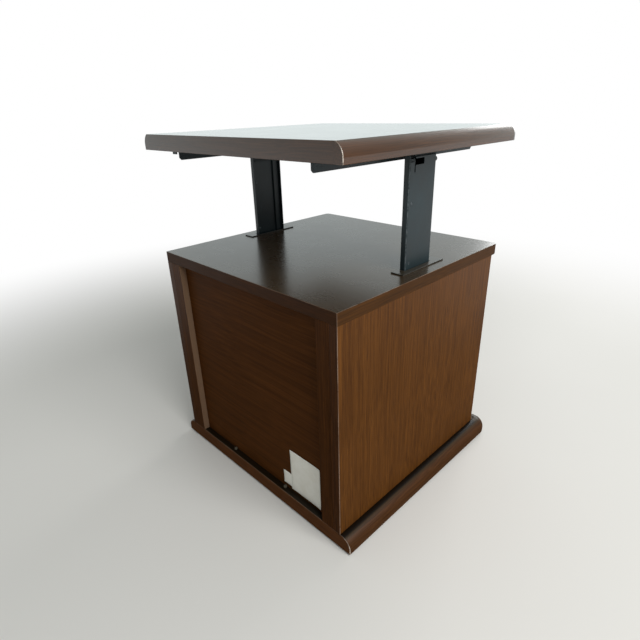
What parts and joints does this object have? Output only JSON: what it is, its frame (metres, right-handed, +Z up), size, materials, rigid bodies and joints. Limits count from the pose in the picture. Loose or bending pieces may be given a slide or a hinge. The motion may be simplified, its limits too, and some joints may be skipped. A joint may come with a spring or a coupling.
{
  "type": "nightstand",
  "caption": "Wooden nightstand with drawers; its nosed table top rises on steel posts above the cabinet.",
  "frame": {"origin": "on the floor, in the middle of the footprint", "axes": "+Z up, -Y the drawer side, +X to the right seen from the drawers"},
  "size_m": [0.494, 0.47, 0.64],
  "materials": {
    "dark_board": "semi-gloss dark brown lacquer",
    "side_board": "satin brown, upright grain",
    "plain_board": "plain pale board",
    "black_steel": "black powder coat",
    "plain_steel": "zinc plated",
    "nylon": "matt black",
    "pale_plastic": "matt pale"
  },
  "bodies": {
    "cabinet": {"base_board": "dark_board", "glides": "nylon", "side_panel_left": "side_board", "side_panel_right": "side_board", "inner_panel_left": "plain_board", "inner_panel_right": "plain_board", "front_stile_left": "dark_board", "front_stile_right": "dark_board", "back_stile_left": "side_board", "back_stile_right": "side_board", "back_panel": "dark_board", "back_buttons": "pale_plastic", "cap_board": "dark_board", "plate_left": "black_steel", "plate_right": "black_steel", "sleeve_left": "plain_steel", "sleeve_right": "plain_steel", "guides_left": "nylon", "guides_right": "nylon", "stop_pads": "nylon", "sleeve_screws": "plain_steel", "guide_screws": "plain_steel", "pawl_pins": "plain_steel", "spring_left": "plain_steel", "spring_right": "plain_steel", "spring_screws": "plain_steel", "runner_lower_left": "nylon", "runner_lower_right": "nylon", "runner_upper_left": "nylon", "runner_upper_right": "nylon", "runner_screws": "plain_steel"},
    "lift": {"table_top": "dark_board", "rail_left": "black_steel", "rail_right": "black_steel", "rail_screws": "plain_steel", "post_left": "black_steel", "post_right": "black_steel", "rack_left": "black_steel", "rack_right": "black_steel", "head_block_left": "black_steel", "head_block_right": "black_steel", "head_bolts": "plain_steel", "side_bolts": "black_steel"},
    "lower_drawer": {"front_lower": "dark_board", "side_lower_left": "plain_board", "side_lower_right": "plain_board", "rear_lower": "plain_board", "bottom_lower": "plain_board", "pull_lower": "black_steel", "pull_screws_lower": "plain_steel"},
    "upper_drawer": {"front_upper": "dark_board", "side_upper_left": "plain_board", "side_upper_right": "plain_board", "rear_upper": "plain_board", "bottom_upper": "plain_board", "pull_upper": "black_steel", "pull_screws_upper": "plain_steel"},
    "left_pawl": {"pawl_left": "plain_steel"},
    "right_pawl": {"pawl_right": "plain_steel"}
  },
  "joints": [
    {"name": "lift_slide", "type": "slide", "parent": "cabinet", "child": "lift", "axis": [0, 0, 1], "range_m": [-0.16, 0]},
    {"name": "lower_drawer_slide", "type": "slide", "parent": "cabinet", "child": "lower_drawer", "axis": [0, -1, 0], "range_m": [0, 0.25]},
    {"name": "upper_drawer_slide", "type": "slide", "parent": "cabinet", "child": "upper_drawer", "axis": [0, -1, 0], "range_m": [0, 0.25]},
    {"name": "left_pawl_hinge", "type": "hinge", "parent": "cabinet", "child": "left_pawl", "pos_m": [-0.179, -0.019, 0.24], "axis": [0, -1, 0], "range_deg": [-6, 0]},
    {"name": "right_pawl_hinge", "type": "hinge", "parent": "cabinet", "child": "right_pawl", "pos_m": [0.179, -0.019, 0.24], "axis": [0, 1, 0], "range_deg": [-6, 0]}
  ]
}
